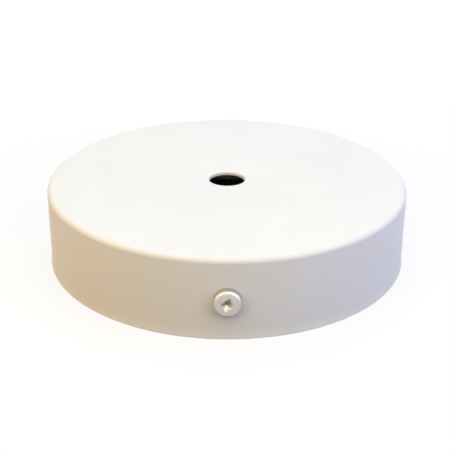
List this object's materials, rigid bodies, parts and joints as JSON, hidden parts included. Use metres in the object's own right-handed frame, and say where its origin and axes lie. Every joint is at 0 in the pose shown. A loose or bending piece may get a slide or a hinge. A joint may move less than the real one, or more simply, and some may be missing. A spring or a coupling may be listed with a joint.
{
  "type": "ceiling canopy",
  "caption": "Shallow round white steel ceiling canopy with a central cord hole, held by side screws to a folded ceiling bracket that carries an earth terminal.",
  "frame": {"origin": "centre of the rim plane, which is the ceiling plane in use", "axes": "+Z along the cup's axis, from the ceiling to the closed face; +Y along the bracket, from the front side screw to the rear one; +X across the bracket"},
  "size_m": [0.1004, 0.1052, 0.022],
  "materials": {
    "white_powder_coat": "satin",
    "nickel_plated_steel": "satin",
    "zinc_plated_steel": "satin",
    "spring_steel": "satin",
    "brass": "satin"
  },
  "bodies": {
    "canopy": {"canopy_cup": "white_powder_coat", "mounting_bracket": "zinc_plated_steel", "earth_washer": "spring_steel"},
    "front_screw": {"side_screw_front": "nickel_plated_steel"},
    "rear_screw": {"side_screw_rear": "nickel_plated_steel"},
    "earth_terminal_screw": {"earth_screw": "brass"}
  },
  "joints": [
    {"name": "front_screw_travel", "type": "slide", "parent": "canopy", "child": "front_screw", "axis": [0, -1, 0], "range_m": [0, 0.0057]},
    {"name": "rear_screw_travel", "type": "slide", "parent": "canopy", "child": "rear_screw", "axis": [0, 1, 0], "range_m": [0, 0.0057]},
    {"name": "earth_screw_travel", "type": "slide", "parent": "canopy", "child": "earth_terminal_screw", "axis": [0, 0, 1], "range_m": [0, 0.0044]}
  ]
}
